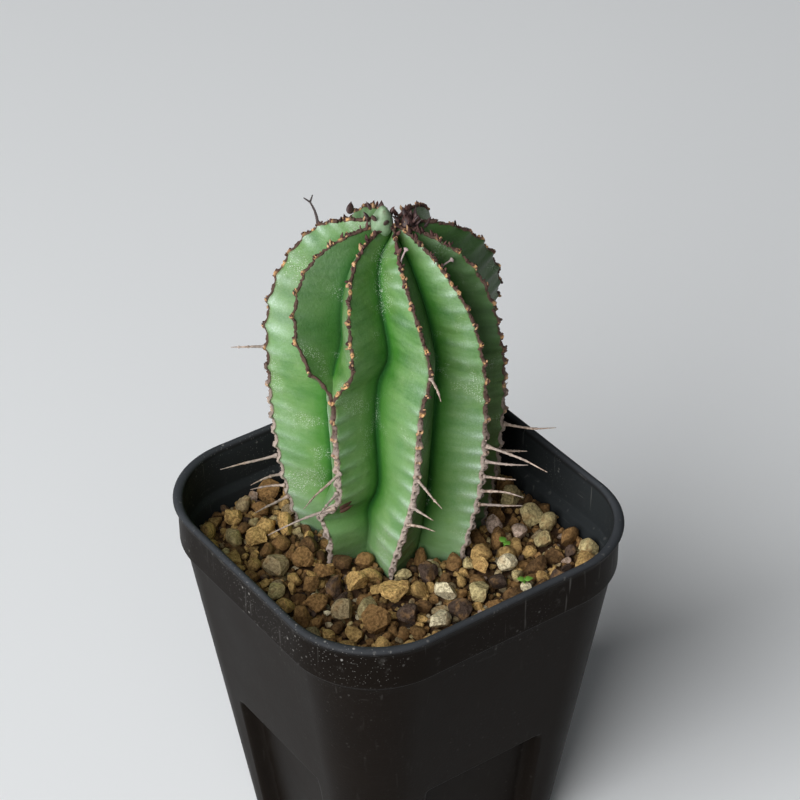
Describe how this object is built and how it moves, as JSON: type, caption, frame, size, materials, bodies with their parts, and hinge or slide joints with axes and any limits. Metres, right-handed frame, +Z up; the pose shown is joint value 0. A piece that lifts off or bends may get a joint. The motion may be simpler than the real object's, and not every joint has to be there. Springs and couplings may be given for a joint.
{
  "type": "potted euphorbia",
  "caption": "Ribbed green succulent stem with corky crests and dry stalks, bedded in gravel in a tapered square black nursery pot.",
  "frame": {"origin": "centre of the pot's foot, on the surface that the pot stands on", "axes": "+Z up through the pot; the pot's sides are parallel to X and Y"},
  "size_m": [0.09, 0.09, 0.1755],
  "materials": {
    "pot_plastic": "satin black moulded plastic with dusty scuffs",
    "mix_grains": "loose fired-clay and pumice grains",
    "loose_stones": "matte tan, cream and brown gravel",
    "stem_skin": "waxy green skin with a pale bloom; matte_plastic stands for it",
    "dry_stalk": "dry tan flower stalks",
    "young_leaf": "dull purple-brown young leaves; matte_plastic stands for them",
    "sprout_green": "soft green seedling leaves; matte_plastic stands for them"
  },
  "bodies": {
    "root": {"crown_bud_brown": "young_leaf", "crown_bud_green": "stem_skin", "crown_leaf_back": "young_leaf", "crown_leaf_left": "young_leaf", "crown_leaf_right": "young_leaf", "crown_twig": "dry_stalk", "euphorbia_stem": "stem_skin", "pot": "pot_plastic", "potting_mix": "mix_grains", "sprout_1": "sprout_green", "sprout_2": "sprout_green", "stalk_back_left_1": "dry_stalk", "stalk_back_right_1": "dry_stalk", "stalk_front_1": "dry_stalk", "stalk_front_2": "dry_stalk", "stalk_front_3": "dry_stalk", "stalk_front_4": "dry_stalk", "stalk_left_1": "dry_stalk", "stalk_left_2": "dry_stalk", "stalk_left_3": "dry_stalk", "stalk_right_1": "dry_stalk", "stalk_right_2": "dry_stalk", "stalk_right_3": "dry_stalk", "stalk_right_4": "dry_stalk", "stalk_right_5": "dry_stalk", "stalk_shade_1": "dry_stalk", "stalk_shade_2": "dry_stalk", "stalk_side_1": "dry_stalk", "stalk_side_2": "dry_stalk", "stalk_side_3": "dry_stalk", "stalk_side_4": "dry_stalk", "stalk_side_5": "dry_stalk", "stone_01": "loose_stones", "stone_02": "loose_stones", "stone_03": "loose_stones", "stone_04": "loose_stones", "stone_05": "loose_stones", "stone_06": "loose_stones", "stone_07": "loose_stones", "stone_08": "loose_stones", "stone_09": "loose_stones", "stone_10": "loose_stones", "stone_11": "loose_stones", "stone_12": "loose_stones", "stone_13": "loose_stones", "stone_14": "loose_stones", "stone_15": "loose_stones", "stone_16": "loose_stones", "stone_17": "loose_stones", "stone_18": "loose_stones", "stone_19": "loose_stones", "stone_20": "loose_stones", "stone_21": "loose_stones", "stone_22": "loose_stones", "stone_23": "loose_stones", "stone_24": "loose_stones", "stone_25": "loose_stones", "stone_26": "loose_stones"}
  },
  "joints": []
}
